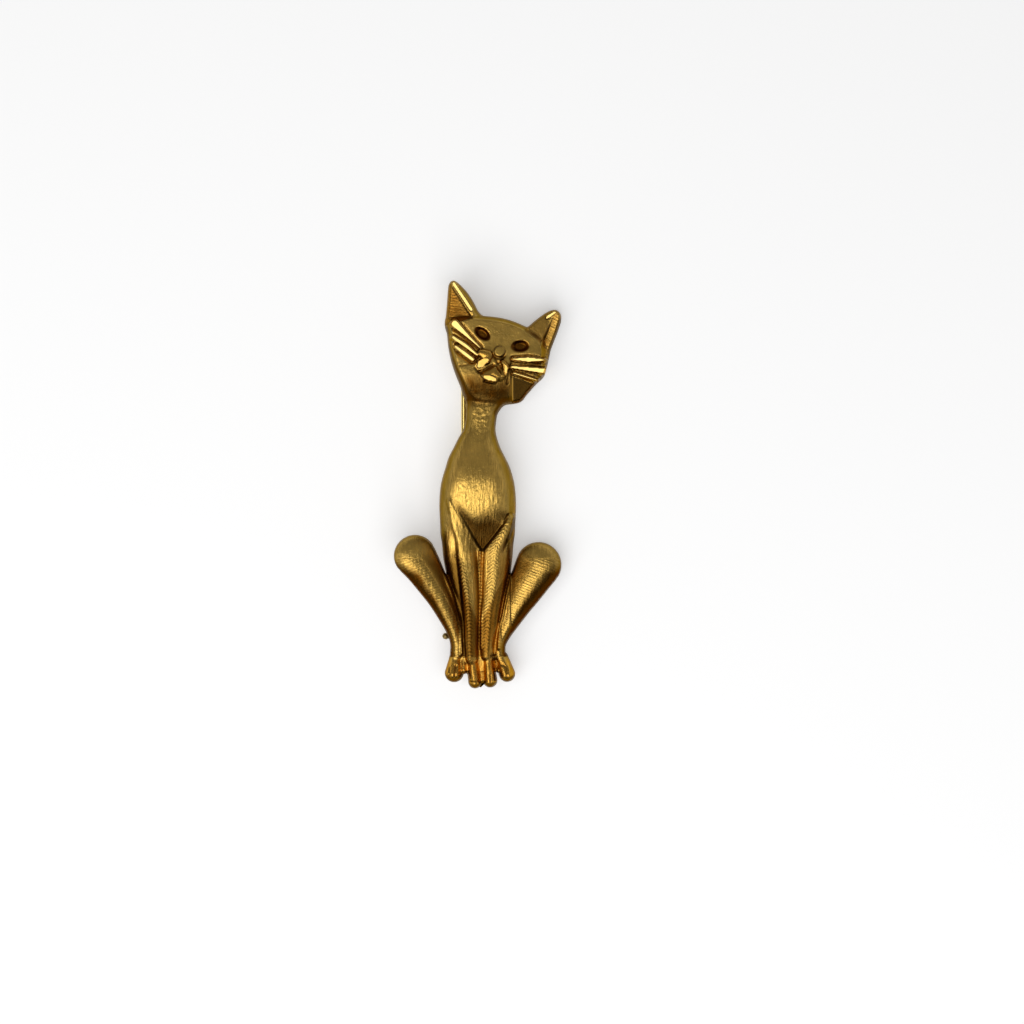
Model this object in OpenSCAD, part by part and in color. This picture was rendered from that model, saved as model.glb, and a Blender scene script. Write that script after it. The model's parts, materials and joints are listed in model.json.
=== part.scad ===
// Seated cat brooch, lying on its back: +X to the viewer's right, +Y towards the ears, +Z up.
// The pin finding holds the left side of the flat back off the surface, so the back leans
// down to the right, and the right hip's rim touches the surface that z = 0 stands for.

/* [Body] */
// Height of the cat from its toe tips to its ear tip
cat_height = 54; // [50:0.5:58]
// Width across the two hips
hip_width = 22.4; // [21:0.2:24]
// Height of the cast outline's widest line above the back
edge_height = 0.9; // [0.6:0.1:1.2]
// Width of the chest
torso_width = 10.1; // [9:0.1:11]
// Width of the neck where it is slimmest
neck_width = 4.05; // [3.6:0.05:4.6]
// Height of the chest above the back
torso_relief = 7.1; // [6:0.1:8]
// Width of a thigh at its round end
thigh_width = 5.8; // [5.2:0.1:6.2]
// Height of a thigh above the back
thigh_relief = 5; // [4.4:0.1:5.6]
// Width of a front leg
leg_width = 2.7; // [2.3:0.1:3]
// Height of a front leg's shoulder above the back
leg_relief = 5.3; // [4.8:0.1:5.8]
// Width of a paw
paw_width = 2.4; // [2.1:0.1:2.7]
// Width of a toe
toe_width = 0.9; // [0.75:0.05:1]
// Height of a paw above the back
paw_relief = 3.5; // [3.1:0.1:3.9]

/* [Head] */
// Width of the head between its cheeks
head_width = 13.5; // [12.8:0.1:14.2]
// Length of the head from crown to chin
head_length = 11.4; // [10.8:0.1:12]
// Height of the face above the back
head_relief = 6.6; // [6:0.1:7.4]
// Length of the left ear, from the brow to its tip
ear_length = 4.6; // [4:0.1:5.2]
// Height of an ear's rim above the back
ear_relief = 4; // [3.4:0.1:4.6]
// Depth of an ear's hollow
ear_hollow = 1.1; // [0.6:0.1:1.6]
// Length of an empty eye recess
eye_length = 2.7; // [2.2:0.1:3]
// Width of an eye recess
eye_width = 1.8; // [1.4:0.1:2.1]
// Depth of an eye recess
eye_depth = 0.8; // [0.4:0.1:1.2]
// Width of the round nose
nose_width = 1.45; // [1.2:0.05:1.8]
// Height of the nose above the back
nose_relief = 7.6; // [7:0.1:8.4]
// Width of a whisker's outer end
whisker_width = 0.75; // [0.6:0.05:0.9]
// Thickness of a whisker bar
whisker_rise = 1.4; // [1:0.1:1.8]

/* [Finding] */
// Distance of the pin's line to the left of the middle
stem_offset = 1.96; // [1.6:0.02:2.2]
// Depth of the pin's line behind the back
stem_depth = 1.4; // [1.35:0.05:1.7]
// Diameter of the pin stem
stem_d = 0.7; // [0.6:0.05:0.8]
// Length of the pin's tapered point
point_length = 4.5; // [3:0.5:6]
// Length of the pin's thicker root, from the rivet
root_length = 2.4; // [2.2:0.1:3]
// Width of the pin's eye along the rivet, which is the root's thickness too
pin_eye_width = 0.9; // [0.7:0.05:1.2]
// Wall of the pin's eye round the rivet
pin_eye_wall = 0.4; // [0.3:0.05:0.45]
// Diameter of the hinge rivet
rivet_d = 0.8; // [0.6:0.05:0.9]
// Running clearance of the pin's eye on the rivet
pivot_clearance = 0.05; // [0.03:0.01:0.08]
// Outer radius of the catch ring, which the surface touches
finding_r = 1.25; // [1.2:0.05:1.3]
// Thickness of the finding's sheet metal
sheet = 0.35; // [0.3:0.05:0.4]
// Solder gap between a base plate and the back
solder_gap = 0.03; // [0.02:0.01:0.05]
// Width of a base plate
plate_width = 2.5; // [2.2:0.1:2.8]
// Length of the hinge's base plate
hinge_plate_length = 3.2; // [2.8:0.1:3.8]
// Length of the catch ring
catch_length = 1.6; // [1.2:0.1:2]
// Wall of the catch ring
catch_wall = 0.3; // [0.25:0.05:0.35]
// Running clearance of the sleeve in the catch ring
sleeve_clearance = 0.05; // [0.03:0.01:0.08]
// Bore of the catch sleeve
sleeve_bore = 1.16; // [1:0.02:1.2]
// Width of the mouth that the pin passes through
mouth_width = 0.96; // [0.9:0.02:1.1]
// Thickness of the lever's disc
lever_disc = 0.7; // [0.5:0.05:0.9]
// Reach of the lever from the pin's line to its knob's end
lever_reach = 2.9; // [2.5:0.1:3.2]
// Diameter of the lever's knob
knob_d = 0.86; // [0.7:0.02:1]

/* [Hidden] */

gold = "goldenrod";
polished = "gold";
ring_sides = 32;
form_fn = 28;
toe_fn = 14;
tip_drop = 0.78;
bar_fn = 10;
eye_fn = 20;
round_fn = 48;
cut_size = 100;

// Places on the figure, as shares: across the hip width and up the cat's height.
left_hip = [-0.363, -0.174];
right_hip = [0.357, -0.196];
head_middle = [0.109, 0.309];
hinge_up = 0.343;
lever_up = -0.371;
tip_up = -0.388;

// The right hip's flat back ends a little inside its outline, and touches the surface there.
hip_share = 1.05;
rim_share = 0.93;
rest_x = right_hip[0] * hip_width + rim_share * hip_share * thigh_width / 2;
reach = rest_x + stem_offset;
rest_tilt = asin(stem_depth / norm([reach, finding_r])) + atan(finding_r / reach);

// Height of the leaning back above the surface
function back_at(x) = (rest_x - x) * tan(rest_tilt);

// Torso sections from chin to toes. Columns: place up the height, middle line across the
// chest's width, swell from the neck's width to the chest's, height as a share of the relief.
torso_rows = [
    [0.228, 0.15, 0.50, 0.66],
    [0.213, 0.14, 0.44, 0.66],
    [0.199, 0.09, 0.20, 0.65],
    [0.186, 0.06, 0.08, 0.64],
    [0.173, 0.04, 0.02, 0.63],
    [0.157, 0.03, 0.00, 0.62],
    [0.135, 0.01, 0.04, 0.65],
    [0.115, -0.01, 0.18, 0.70],
    [0.091, -0.02, 0.36, 0.79],
    [0.066, -0.02, 0.57, 0.87],
    [0.042, -0.01, 0.74, 0.93],
    [0.012, -0.01, 0.90, 0.99],
    [-0.017, -0.01, 0.98, 1.00],
    [-0.047, -0.01, 1.00, 0.99],
    [-0.071, -0.01, 1.00, 0.94],
    [-0.096, -0.01, 0.98, 0.84],
    [-0.120, -0.01, 0.95, 0.72],
    [-0.147, -0.01, 0.88, 0.62],
    [-0.184, -0.01, 0.82, 0.56],
    [-0.233, 0.00, 0.66, 0.53],
    [-0.294, 0.02, 0.40, 0.50],
    [-0.355, 0.02, 0.21, 0.46],
    [-0.421, 0.01, 0.08, 0.40]];

// Thighs from the hip to the ankle, the hip's outer, middle and inner domes first. Columns:
// across the hip width, up the height, width and height as shares of the thigh's.
hip_domes = 3;
left_thigh = [
    [-0.399, -0.167, 0.80, 0.94],
    [left_hip.x, left_hip.y, 0.95, 1.00],
    [-0.322, -0.184, 0.86, 0.97],
    [-0.222, -0.272, 0.64, 0.92],
    [-0.127, -0.355, 0.39, 0.74],
    [-0.115, -0.409, 0.36, 0.66]];
right_thigh = [
    [right_hip.x, right_hip.y, hip_share, 1.00],
    [0.340, -0.196, 0.98, 0.99],
    [0.292, -0.189, 0.86, 0.96],
    [0.222, -0.289, 0.68, 0.92],
    [0.139, -0.360, 0.38, 0.74],
    [0.109, -0.409, 0.27, 0.66]];

// Front legs from the shoulder to the paw. Columns: across the hip width, up the height,
// width as a share of the leg's, height as a share of its relief.
left_leg = [
    [-0.145, -0.052, 0.78, 1.13],
    [-0.092, -0.147, 0.89, 1.00],
    [-0.050, -0.257, 0.94, 0.92],
    [-0.027, -0.380, 0.89, 0.83],
    [-0.021, -0.424, 0.89, 0.76]];
right_leg = [
    [0.170, -0.074, 0.89, 1.04],
    [0.092, -0.147, 1.00, 1.00],
    [0.062, -0.233, 1.06, 0.94],
    [0.062, -0.380, 0.94, 0.85],
    [0.065, -0.424, 0.89, 0.77]];

// Pads of the four paws, left to right. Columns: heel across the hip width and up the height,
// ball across and up, width as a share of the paw's, height as a share of its relief.
paw_pads = [
    [-0.138, -0.434, -0.142, -0.449, 0.98, 0.82],
    [-0.022, -0.442, -0.018, -0.466, 0.92, 0.92],
    [0.065, -0.442, 0.068, -0.466, 0.84, 0.90],
    [0.130, -0.431, 0.160, -0.453, 0.92, 0.82]];

// Toes. Columns: knuckle across the hip width and up the height, tip across and up, width as
// a share of the toe's, height as a share of the paw's relief.
toes = [
    [-0.167, -0.455, -0.174, -0.469, 0.98, 0.84],
    [-0.140, -0.457, -0.143, -0.475, 1.04, 0.90],
    [-0.111, -0.453, -0.113, -0.467, 0.96, 0.84],
    [-0.045, -0.466, -0.042, -0.483, 1.04, 0.92],
    [-0.018, -0.470, -0.015, -0.490, 1.18, 0.98],
    [0.010, -0.466, 0.010, -0.480, 1.02, 0.90],
    [0.041, -0.466, 0.043, -0.480, 1.00, 0.90],
    [0.065, -0.470, 0.066, -0.486, 1.12, 0.96],
    [0.089, -0.465, 0.092, -0.476, 1.00, 0.88],
    [0.140, -0.457, 0.145, -0.468, 0.98, 0.82],
    [0.165, -0.461, 0.171, -0.476, 1.06, 0.88],
    [0.190, -0.455, 0.195, -0.466, 0.96, 0.82]];

// Domes of the head. Columns: across the head's width and up its length from its middle,
// width as a share of the head's, height as a share of its relief.
head_domes = [
    [-0.265, 0.256, 0.41, 0.66],
    [-0.030, 0.224, 0.44, 0.88],
    [0.100, 0.190, 0.42, 0.86],
    [0.265, 0.105, 0.48, 0.72],
    [0.314, -0.140, 0.31, 0.62],
    [0.196, -0.395, 0.16, 0.56],
    [-0.265, -0.012, 0.38, 0.70],
    [-0.186, -0.291, 0.33, 0.74],
    [0.030, 0.060, 0.40, 0.99],
    [-0.020, -0.120, 0.36, 1.00]];

// Ears and their hollows. Columns: across the head's width, up the ear's length from the
// brow line, width as a share of the head's, height as a share of the ear's relief.
brow_up = 0.5;
left_ear = [
    [-0.412, 0.81, 0.127, 0.72],
    [-0.368, 0.46, 0.231, 0.88],
    [-0.338, 0.00, 0.323, 1.00],
    [-0.382, -0.40, 0.235, 1.00]];
left_hollow = [
    [-0.419, 0.62, 0.050, 0.62],
    [-0.440, 0.05, 0.080, 0.78],
    [-0.320, 0.03, 0.100, 0.86]];
right_ear = [
    [0.565, 0.02, 0.140, 0.72],
    [0.510, -0.40, 0.216, 0.88],
    [0.451, -0.84, 0.200, 1.00],
    [0.363, -0.47, 0.180, 1.00]];
right_hollow = [
    [0.575, -0.16, 0.050, 0.62],
    [0.520, -0.70, 0.070, 0.80],
    [0.430, -0.62, 0.080, 0.88]];

// Muzzle lobes. Columns as the head's, in pairs of beads that each make one lobe.
muzzle_lobes = [
    [[-0.137, 0.012, 0.12, 1.00], [-0.088, -0.081, 0.13, 1.05]],
    [[0.078, -0.070, 0.09, 1.04], [0.074, -0.210, 0.09, 0.98]],
    [[-0.066, -0.174, 0.15, 1.05], [-0.010, -0.186, 0.15, 1.06]],
    [[-0.070, -0.330, 0.22, 0.88], [0.020, -0.350, 0.20, 0.86]]];
nose_place = [0.026, 0.070];

// Eye recesses. Columns: across the head's width, up its length, turn, height of the rim as a
// share of the head's relief.
eyes = [
    [-0.147, 0.279, -38, 0.76],
    [0.221, 0.140, 8, 0.83]];

// Whisker bars. Columns: inner end across and up the head, its width as a share of the
// outer end's, its height share, then the outer end across, up, width and height shares.
whiskers = [
    [-0.157, 0.093, 0.45, 0.87, -0.397, 0.349, 1.20, 0.65],
    [-0.186, 0.035, 0.60, 0.85, -0.412, 0.221, 0.90, 0.53],
    [-0.206, -0.023, 0.60, 0.84, -0.412, 0.093, 0.80, 0.53],
    [0.147, -0.023, 0.50, 0.95, 0.471, -0.047, 0.90, 0.58],
    [0.137, -0.099, 0.80, 0.93, 0.461, -0.163, 1.00, 0.53],
    [0.147, -0.174, 0.60, 0.88, 0.392, -0.244, 0.60, 0.54]];

// Polished facet along each ear's inner edge, in the same columns as the whiskers, but with
// its ends placed as the ears' domes are and its heights as shares of the ears' relief.
ear_facets = [
    [-0.245, 0.12, 0.60, 1.02, -0.430, 0.88, 0.80, 0.78],
    [0.500, -0.13, 0.60, 0.92, 0.560, 0.08, 0.90, 0.76]];

// Places as points of the plan
function figure_place(across, up) = [across * hip_width, up * cat_height];
function head_place(across, up) = [
    head_middle[0] * hip_width + across * head_width,
    head_middle[1] * cat_height + up * head_length];
function ear_place(across, up) = head_place(across, brow_up) + [0, up * ear_length];

// Place of the pin's line: it lies level, its radius of finding above the surface.
hinge_y = hinge_up * cat_height;
lever_y = lever_up * cat_height;
tip_y = tip_up * cat_height;
ring_y = lever_y + lever_disc / 2 + catch_length / 2;
sleeve_r = finding_r - catch_wall - sleeve_clearance;
pin_eye_r = rivet_d / 2 + pivot_clearance + pin_eye_wall;
plate_z = stem_depth - solder_gap - sheet;
ear_gap = pin_eye_width / 2 + pivot_clearance;

// The lower hinge ear's rim touches the surface too, at the same height as the catch ring.
hinge_ear_r = (finding_r - (ear_gap + sheet) * sin(rest_tilt)) / cos(rest_tilt);

// Small fits and steps of the finding
rivet_fit = 0.02;
rivet_head_share = 1.5;
flange_step = 0.1;
flange_r = finding_r - flange_step;
tip_share = 0.2;
lever_share = 0.8;
cut_margin = 1;

// A half-sunk round form: an ellipsoid whose widest line lies at the casting's edge height
module dome(place, width, relief, fn = form_fn) {
    translate([place.x, place.y, back_at(place.x) + edge_height])
        scale([1, 1, (relief - edge_height) / (width / 2)])
            sphere(d = width, $fn = fn);
}

// A ball whose top lies at the stated height
module bead(place, width, relief) {
    translate([place.x, place.y, back_at(place.x) + relief - width / 2])
        sphere(d = width, $fn = toe_fn);
}

// A limb's domes joined in a row, with the first few all in one hull
module limb(rows, width, relief, first = 2) {
    for (last = [first - 1:len(rows) - 1])
        hull()
            for (k = [last < first ? 0 : last - 1:last])
                let (row = rows[k])
                dome(figure_place(row[0], row[1]), row[2] * width, row[3] * relief);
}

module torso() {
    rings = [for (row = torso_rows)
        let (
            half = (neck_width + (torso_width - neck_width) * row[2]) / 2,
            rise = torso_relief * row[3] - edge_height)
        [for (side = [0:ring_sides - 1])
            let (turn = 360 * side / ring_sides, x = torso_width * row[1] + half * cos(turn))
            [x, row[0] * cat_height, back_at(x) + edge_height + rise * sin(turn)]]];
    last = len(rings) - 1;
    sides = [for (i = [0:last - 1], j = [0:ring_sides - 1])
        let (k = (j + 1) % ring_sides, here = i * ring_sides, below = here + ring_sides)
        [here + k, here + j, below + j, below + k]];
    top = [for (j = [0:ring_sides - 1]) j];
    bottom = [for (j = [0:ring_sides - 1]) last * ring_sides + ring_sides - 1 - j];
    polyhedron([for (ring = rings, point = ring) point], concat([top, bottom], sides));
}

module paws() {
    for (pad = paw_pads)
        hull() {
            dome(figure_place(pad[0], pad[1]), paw_width * pad[4], paw_relief * pad[5], toe_fn);
            dome(figure_place(pad[2], pad[3]), paw_width * pad[4], paw_relief * pad[5], toe_fn);
        }
    for (toe = toes)
        hull() {
            bead(figure_place(toe[0], toe[1]), toe_width * toe[4], paw_relief * toe[5]);
            bead(figure_place(toe[2], toe[3]), toe_width * toe[4], paw_relief * toe[5] * tip_drop);
        }
}

module head() {
    hull()
        for (row = head_domes)
            dome(head_place(row[0], row[1]), head_width * row[2], head_relief * row[3]);
    for (lobe = muzzle_lobes)
        hull()
            for (row = lobe)
                bead(head_place(row[0], row[1]), head_width * row[2], head_relief * row[3]);
    bead(head_place(nose_place.x, nose_place.y), nose_width, nose_relief);
}

module ear(rows) {
    hull()
        for (row = rows)
            dome(ear_place(row[0], row[1]), head_width * row[2], ear_relief * row[3]);
}

// Space scooped out of an ear, open above
module hollow(rows) {
    hull()
        for (row = rows, lift = [0, ear_relief])
            let (place = ear_place(row[0], row[1]), d = head_width * row[2])
            translate([place.x, place.y, back_at(place.x) + ear_relief * row[3] - ear_hollow + lift + d / 2])
                sphere(d = d, $fn = toe_fn);
}

// A flat bar from one end to the other, with its top at the stated heights
module bar(start, start_width, start_top, finish, finish_width, finish_top) {
    hull() {
        translate([start.x, start.y, back_at(start.x) + start_top - whisker_rise])
            cylinder(d = start_width, h = whisker_rise, $fn = bar_fn);
        translate([finish.x, finish.y, back_at(finish.x) + finish_top - whisker_rise])
            cylinder(d = finish_width, h = whisker_rise, $fn = bar_fn);
    }
}

module polished_bars() {
    for (row = whiskers)
        bar(head_place(row[0], row[1]), whisker_width * row[2], head_relief * row[3],
            head_place(row[4], row[5]), whisker_width * row[6], head_relief * row[7]);
    for (row = ear_facets)
        bar(ear_place(row[0], row[1]), whisker_width * row[2], ear_relief * row[3],
            ear_place(row[4], row[5]), whisker_width * row[6], ear_relief * row[7]);
}

// Ellipsoids whose middles lie as far over the eyes' rims as their bottoms lie under them
module eye_recesses() {
    half_height = 2 * eye_depth;
    for (eye = eyes)
        let (place = head_place(eye[0], eye[1]))
        translate([place.x, place.y, back_at(place.x) + head_relief * eye[3] + eye_depth])
            rotate(eye[2])
                scale([eye_length, eye_width, 2 * half_height])
                    sphere(d = 1, $fn = eye_fn);
}

// Everything behind the flat, leaning back
module behind_back() {
    translate([rest_x, 0, 0])
        rotate([0, rest_tilt, 0])
            translate([-cut_size / 2, -cut_size / 2, -cut_size])
                cube(cut_size);
}

module cat_casting() {
    color(gold)
        difference() {
            union() {
                torso();
                limb(left_thigh, thigh_width, thigh_relief, hip_domes + 1);
                limb(right_thigh, thigh_width, thigh_relief, hip_domes + 1);
                limb(left_leg, leg_width, leg_relief);
                limb(right_leg, leg_width, leg_relief);
                paws();
                head();
                difference() {
                    ear(left_ear);
                    hollow(left_hollow);
                }
                difference() {
                    ear(right_ear);
                    hollow(right_hollow);
                }
                polished_bars();
            }
            behind_back();
            eye_recesses();
        }
}

// Frame of the finding: its origin on the pin's line, its XY plane parallel to the back
module at_stem(y) {
    translate([-stem_offset, y, finding_r])
        rotate([0, rest_tilt, 0])
            children();
}

// A rod along X, centred
module cross_rod(d, length) {
    rotate([0, 90, 0])
        cylinder(d = d, h = length, center = true, $fn = round_fn);
}

// A rod along Y, from one place to the other
module long_rod(d, from, to) {
    translate([0, from, 0])
        rotate([-90, 0, 0])
            cylinder(d = d, h = to - from, $fn = round_fn);
}

// A round taper towards -Y, from one place to the other
module tapered_rod(start_d, end_d, from, to) {
    translate([0, from, 0])
        rotate([90, 0, 0])
            cylinder(d1 = start_d, d2 = end_d, h = from - to, $fn = round_fn);
}

module base_plate(length) {
    translate([-plate_width / 2, -length / 2, plate_z])
        cube([plate_width, length, sheet]);
}

// A tab of sheet from the base plate, with a round end that is drilled for the rivet
module hinge_ear() {
    difference() {
        union() {
            cross_rod(2 * hinge_ear_r, sheet);
            translate([-sheet / 2, -hinge_ear_r, 0])
                cube([sheet, 2 * hinge_ear_r, plate_z + sheet / 2]);
        }
        cross_rod(rivet_d + 2 * rivet_fit, sheet + cut_margin);
    }
}

module hinge_bracket() {
    color(polished)
        at_stem(hinge_y)
            union() {
                base_plate(hinge_plate_length);
                for (side = [-1, 1])
                    translate([side * (ear_gap + sheet / 2), 0, 0])
                        hinge_ear();
            }
}

module hinge_rivet() {
    head_out = ear_gap + sheet + rivet_fit;
    head_rise = sheet / 2;
    color(polished)
        at_stem(hinge_y)
            union() {
                cross_rod(rivet_d, 2 * head_out);
                for (side = [-1, 1])
                    translate([side * (head_out + head_rise / 2), 0, 0])
                        cross_rod(rivet_d * rivet_head_share, head_rise);
            }
}

module pin_stem() {
    stem_end = tip_y - hinge_y + point_length;
    root_start = -rivet_d / 2 - pivot_clearance;
    color(polished)
        at_stem(hinge_y)
            difference() {
                union() {
                    cross_rod(2 * pin_eye_r, pin_eye_width);
                    tapered_rod(pin_eye_width, stem_d, root_start, -root_length);
                    long_rod(stem_d, stem_end, -root_length);
                    tapered_rod(stem_d, stem_d * tip_share, stem_end, stem_end - point_length);
                }
                cross_rod(rivet_d + 2 * pivot_clearance, pin_eye_width + cut_margin);
            }
}

// The channel through which the pin leaves the catch
module mouth(from, to) {
    translate([-mouth_width / 2, from, -2 * finding_r])
        cube([mouth_width, to - from, 2 * finding_r]);
}

module catch_housing() {
    color(polished)
        at_stem(ring_y)
            difference() {
                union() {
                    base_plate(catch_length);
                    long_rod(2 * finding_r, -catch_length / 2, catch_length / 2);
                }
                long_rod(2 * (finding_r - catch_wall), -catch_length, catch_length);
                mouth(-catch_length, catch_length);
            }
}

module catch_sleeve() {
    near = ring_y - lever_y - catch_length / 2 + sleeve_clearance;
    far = near + catch_length;
    color(polished)
        at_stem(lever_y)
            difference() {
                union() {
                    long_rod(2 * flange_r, -lever_disc / 2, lever_disc / 2 - sleeve_clearance);
                    long_rod(2 * sleeve_r, 0, far + sheet);
                    long_rod(2 * flange_r, far, far + sheet);
                    translate([-(lever_reach - knob_d / 2) / 2, 0, 0])
                        cross_rod(knob_d * lever_share, lever_reach - knob_d / 2);
                    translate([-lever_reach + knob_d / 2, 0, 0])
                        sphere(d = knob_d, $fn = round_fn);
                }
                long_rod(sleeve_bore, -lever_disc, far + cut_margin);
                mouth(-lever_disc, far + cut_margin);
            }
}

cat_casting();
hinge_bracket();
hinge_rivet();
pin_stem();
catch_housing();
catch_sleeve();
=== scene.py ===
"""Seated cat brooch: the cast relief, the finishes of the metal, and a plain studio."""
import json
import math

import bmesh
import bpy
import numpy as np
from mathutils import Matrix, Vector


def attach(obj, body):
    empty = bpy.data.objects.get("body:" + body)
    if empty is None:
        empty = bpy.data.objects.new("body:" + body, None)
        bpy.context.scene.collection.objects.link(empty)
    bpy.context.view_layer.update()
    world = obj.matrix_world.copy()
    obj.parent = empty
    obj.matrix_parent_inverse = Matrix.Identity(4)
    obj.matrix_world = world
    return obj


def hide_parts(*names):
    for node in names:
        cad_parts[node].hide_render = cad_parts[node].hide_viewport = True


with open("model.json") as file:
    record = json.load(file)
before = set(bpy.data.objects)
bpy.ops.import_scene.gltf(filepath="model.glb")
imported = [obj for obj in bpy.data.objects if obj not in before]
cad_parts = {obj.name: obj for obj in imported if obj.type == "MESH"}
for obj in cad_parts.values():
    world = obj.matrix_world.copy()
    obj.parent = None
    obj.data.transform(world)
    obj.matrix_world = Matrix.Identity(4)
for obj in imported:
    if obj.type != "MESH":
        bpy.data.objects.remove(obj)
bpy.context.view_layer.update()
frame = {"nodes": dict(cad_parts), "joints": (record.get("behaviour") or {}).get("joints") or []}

# Units: the relief is worked out in millimetres, and its mesh is made in metres.
MM = 0.001

# The flat back leans down to the right, about the line of the pin that holds it up. The pin's line is
# this deep behind the back.
STEM_DEPTH = 1.4
hinge = next(joint for joint in frame["joints"] if joint["name"] == "pin_hinge")
REST_TILT = math.atan2(-hinge["axis"][2], hinge["axis"][0])
pin_x, _, pin_z = (value / MM for value in hinge["pos_m"])
REST_X = (pin_x + STEM_DEPTH * math.sin(REST_TILT)
          + (pin_z + STEM_DEPTH * math.cos(REST_TILT)) / math.tan(REST_TILT))

# Fall of the back to the right, and height of the casting's widest line above the back
LEAN = math.tan(REST_TILT)
EDGE = 0.9


def back_at(x):
    """Height of the leaning back above the surface."""
    return (REST_X - x) * LEAN


# Grid that the relief is worked out on: its spacing, half width and half height
CELL = 0.1
HALF_X, HALF_Y = 12.2, 28.0
grid_x = np.arange(-HALF_X, HALF_X + CELL, CELL)
grid_y = np.arange(-HALF_Y, HALF_Y + CELL, CELL)
X, Y = np.meshgrid(grid_x, grid_y)

# Height where there is no form yet, distance where nothing is near, and a guard for divisions
NO_FORM, FAR, TINY = -9.0, 99.0, 1e-6

# Points to each stretch of a smooth curve
TORSO_STEPS, LIMB_STEPS, PATH_STEPS, OUTLINE_STEPS = 8, 6, 5, 4

# Torso sections from chin to paws: place up, middle, half width, height above the back
TORSO = [
    (12.6, 1.3, 3.4, 4.9), (11.6, 1.1, 3.0, 4.85), (10.7, 0.9, 2.55, 4.85), (10.0, 0.6, 2.3, 4.88),
    (9.3, 0.4, 2.1, 4.93), (8.5, 0.3, 2.05, 5.0), (7.3, 0.1, 2.15, 5.13), (6.2, -0.1, 2.55, 5.35),
    (4.9, -0.2, 3.1, 5.7), (3.6, -0.2, 3.75, 6.1), (2.3, -0.1, 4.25, 6.5), (0.6, -0.1, 4.75, 6.82),
    (-0.9, -0.1, 4.98, 6.78), (-2.2, -0.1, 5.05, 6.55), (-3.2, -0.1, 5.05, 6.25), (-4.3, -0.1, 5.0, 5.85),
    (-5.2, -0.1, 4.95, 5.5), (-6.5, -0.1, 4.9, 5.05), (-7.9, -0.1, 4.7, 4.7), (-9.9, -0.1, 4.5, 4.3),
    (-12.6, 0.0, 4.0, 3.8), (-15.9, 0.2, 3.2, 3.4), (-19.2, 0.2, 2.7, 3.2), (-22.4, 0.15, 2.3, 3.2),
    (-23.6, 0.25, 2.2, 3.0), (-24.6, 0.3, 2.2, 2.7)]

# The belly is boxier than the chest: two places up, and the fullness there
TORSO_FULLNESS = ((-8.0, -4.0), (3.4, 2.0))
TORSO_END_SLOPE = 4

# Limbs from their roots: across, up, width, height above the back
LEFT_THIGH = [
    (-8.35, -9.35, 5.55, 5.2), (-7.3, -10.9, 4.9, 5.1), (-6.1, -12.9, 4.2, 4.9), (-5.0, -14.8, 3.6, 4.6),
    (-4.0, -17.0, 2.9, 4.2), (-3.1, -19.2, 2.3, 3.8), (-2.75, -20.8, 2.0, 3.5), (-2.7, -22.2, 2.1, 3.3)]
RIGHT_THIGH = [
    (7.95, -10.6, 6.1, 5.5), (7.1, -12.1, 5.5, 5.4), (6.1, -13.9, 4.8, 5.1), (5.1, -15.7, 4.0, 4.75),
    (4.1, -17.8, 3.0, 4.2), (3.2, -19.6, 2.3, 3.8), (2.7, -21.0, 1.9, 3.5), (2.6, -22.2, 1.9, 3.3)]
LEFT_LEG = [
    (-3.5, -2.2, 1.4, 6.1), (-3.0, -3.8, 1.8, 5.7), (-2.5, -5.3, 2.2, 5.45), (-1.8, -7.4, 2.6, 5.2),
    (-1.4, -10.3, 2.7, 5.1), (-1.1, -14.2, 2.3, 4.9), (-0.95, -17.2, 1.95, 4.7), (-0.9, -20.5, 1.8, 4.4),
    (-0.85, -22.9, 1.6, 4.1)]
RIGHT_LEG = [
    (4.1, -4.2, 1.1, 5.9), (3.75, -5.2, 1.4, 6.0), (3.25, -6.35, 1.8, 6.0), (2.65, -7.4, 2.2, 5.85),
    (2.1, -8.6, 2.6, 5.6), (1.95, -10.3, 2.75, 5.3), (1.65, -14.2, 2.3, 4.9), (1.3, -17.3, 1.85, 4.7),
    (1.15, -20.0, 1.7, 4.4), (1.05, -22.4, 1.5, 4.1)]

# Full right flank of the body behind the leg
RIGHT_FLANK = [
    (3.0, -4.5, 3.4, 5.3), (2.8, -7.0, 3.4, 5.2), (2.5, -10.0, 3.7, 5.05), (2.2, -13.0, 3.5, 4.75),
    (1.9, -16.0, 2.9, 4.45), (1.6, -19.0, 2.3, 4.1), (1.35, -21.0, 2.0, 3.9), (1.3, -22.8, 1.7, 3.6)]

# Limbs: rows, rise of their rounded top, its flatness and slope to the right, fillet
LIMBS = [
    (LEFT_THIGH, 2.0, 1.0, -0.15, 0.25), (RIGHT_THIGH, 2.0, 1.0, 0.2, 0.25),
    (LEFT_LEG, 1.0, 1.05, -0.25, 0.3), (RIGHT_LEG, 1.0, 1.05, 0.25, 0.3)]

# Paws: heel across and up, its width, tip across and up, its width, height at each
PAWS = [
    (-2.95, -22.9, 1.85, -3.2, -24.8, 2.5, 3.0, 3.4),
    (-1.9, -22.8, 1.3, -1.9, -24.4, 1.2, 2.9, 3.1),
    (-0.8, -22.8, 1.75, -0.45, -26.0, 1.8, 3.6, 3.8),
    (0.45, -24.2, 1.0, 0.5, -25.7, 1.0, 2.6, 2.6),
    (1.2, -22.8, 1.45, 1.55, -25.85, 1.9, 3.7, 3.8),
    (2.24, -22.6, 0.6, 2.24, -22.7, 0.6, 4.1, 4.1),
    (2.4, -23.2, 0.9, 2.7, -24.5, 0.8, 2.8, 2.8),
    (3.0, -22.9, 1.9, 3.78, -25.0, 2.15, 3.2, 3.6)]

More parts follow.
